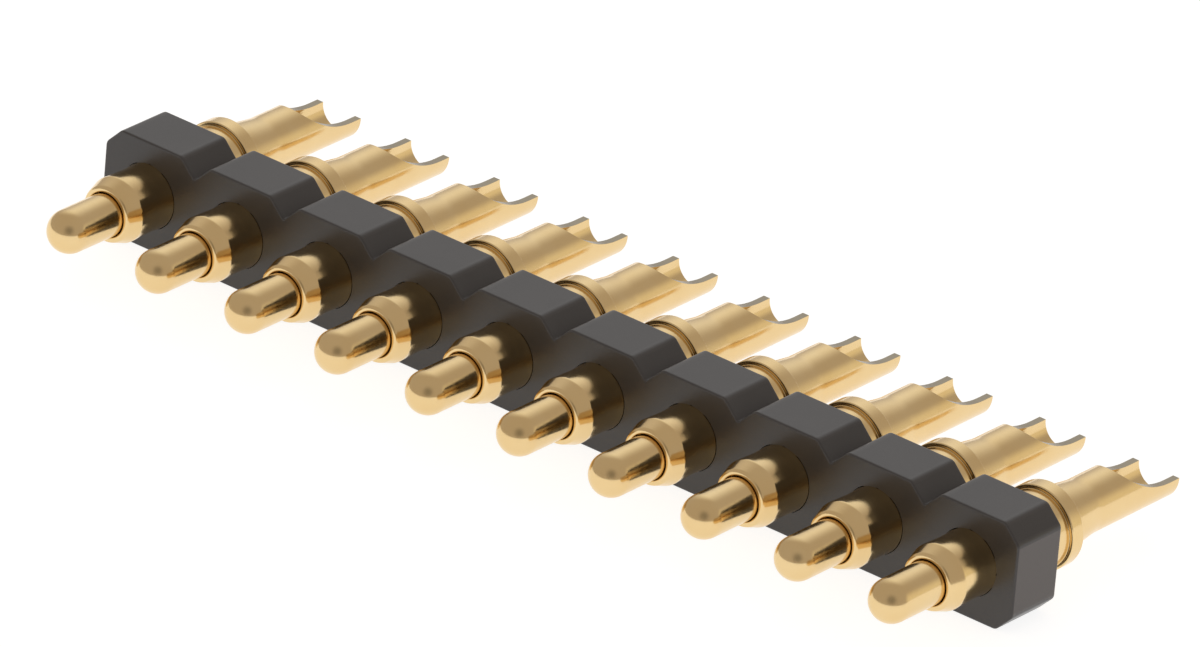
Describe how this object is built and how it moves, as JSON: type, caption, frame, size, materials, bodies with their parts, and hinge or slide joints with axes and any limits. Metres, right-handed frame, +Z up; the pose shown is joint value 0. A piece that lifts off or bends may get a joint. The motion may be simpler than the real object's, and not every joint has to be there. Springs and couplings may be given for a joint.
{
  "type": "single-row spring-loaded pin header",
  "caption": "Notched black insulator strip carrying a row of gold turned contacts, each with a sprung domed plunger in front and a cut-away solder cup behind.",
  "frame": {"origin": "middle of the whole header in plan, on the plane of the strip's underside", "axes": "+X along the row, +Y towards the solder cups, +Z up, square to the strip's top face"},
  "size_m": [0.0254, 0.0094, 0.0025],
  "materials": {
    "black_moulding": "satin glass-filled moulding",
    "gold_plate": "bright gold plating",
    "spring_wire": "drawn stainless wire"
  },
  "bodies": {
    "strip": {"insulator": "black_moulding", "barrel_01": "gold_plate", "barrel_02": "gold_plate", "barrel_03": "gold_plate", "barrel_04": "gold_plate", "barrel_05": "gold_plate", "barrel_06": "gold_plate", "barrel_07": "gold_plate", "barrel_08": "gold_plate", "barrel_09": "gold_plate", "barrel_10": "gold_plate", "spring_01": "spring_wire", "spring_02": "spring_wire", "spring_03": "spring_wire", "spring_04": "spring_wire", "spring_05": "spring_wire", "spring_06": "spring_wire", "spring_07": "spring_wire", "spring_08": "spring_wire", "spring_09": "spring_wire", "spring_10": "spring_wire"},
    "plunger_01": {"plunger_01": "gold_plate"},
    "plunger_02": {"plunger_02": "gold_plate"},
    "plunger_03": {"plunger_03": "gold_plate"},
    "plunger_04": {"plunger_04": "gold_plate"},
    "plunger_05": {"plunger_05": "gold_plate"},
    "plunger_06": {"plunger_06": "gold_plate"},
    "plunger_07": {"plunger_07": "gold_plate"},
    "plunger_08": {"plunger_08": "gold_plate"},
    "plunger_09": {"plunger_09": "gold_plate"},
    "plunger_10": {"plunger_10": "gold_plate"}
  },
  "joints": [
    {"name": "plunger_01_slide", "type": "slide", "parent": "strip", "child": "plunger_01", "axis": [0, 1, 0], "range_m": [0, 0.0014], "stiffness_N_per_m": 700, "deforming": ["spring_01"]},
    {"name": "plunger_02_slide", "type": "slide", "parent": "strip", "child": "plunger_02", "axis": [0, 1, 0], "range_m": [0, 0.0014], "stiffness_N_per_m": 700, "deforming": ["spring_02"]},
    {"name": "plunger_03_slide", "type": "slide", "parent": "strip", "child": "plunger_03", "axis": [0, 1, 0], "range_m": [0, 0.0014], "stiffness_N_per_m": 700, "deforming": ["spring_03"]},
    {"name": "plunger_04_slide", "type": "slide", "parent": "strip", "child": "plunger_04", "axis": [0, 1, 0], "range_m": [0, 0.0014], "stiffness_N_per_m": 700, "deforming": ["spring_04"]},
    {"name": "plunger_05_slide", "type": "slide", "parent": "strip", "child": "plunger_05", "axis": [0, 1, 0], "range_m": [0, 0.0014], "stiffness_N_per_m": 700, "deforming": ["spring_05"]},
    {"name": "plunger_06_slide", "type": "slide", "parent": "strip", "child": "plunger_06", "axis": [0, 1, 0], "range_m": [0, 0.0014], "stiffness_N_per_m": 700, "deforming": ["spring_06"]},
    {"name": "plunger_07_slide", "type": "slide", "parent": "strip", "child": "plunger_07", "axis": [0, 1, 0], "range_m": [0, 0.0014], "stiffness_N_per_m": 700, "deforming": ["spring_07"]},
    {"name": "plunger_08_slide", "type": "slide", "parent": "strip", "child": "plunger_08", "axis": [0, 1, 0], "range_m": [0, 0.0014], "stiffness_N_per_m": 700, "deforming": ["spring_08"]},
    {"name": "plunger_09_slide", "type": "slide", "parent": "strip", "child": "plunger_09", "axis": [0, 1, 0], "range_m": [0, 0.0014], "stiffness_N_per_m": 700, "deforming": ["spring_09"]},
    {"name": "plunger_10_slide", "type": "slide", "parent": "strip", "child": "plunger_10", "axis": [0, 1, 0], "range_m": [0, 0.0014], "stiffness_N_per_m": 700, "deforming": ["spring_10"]}
  ]
}
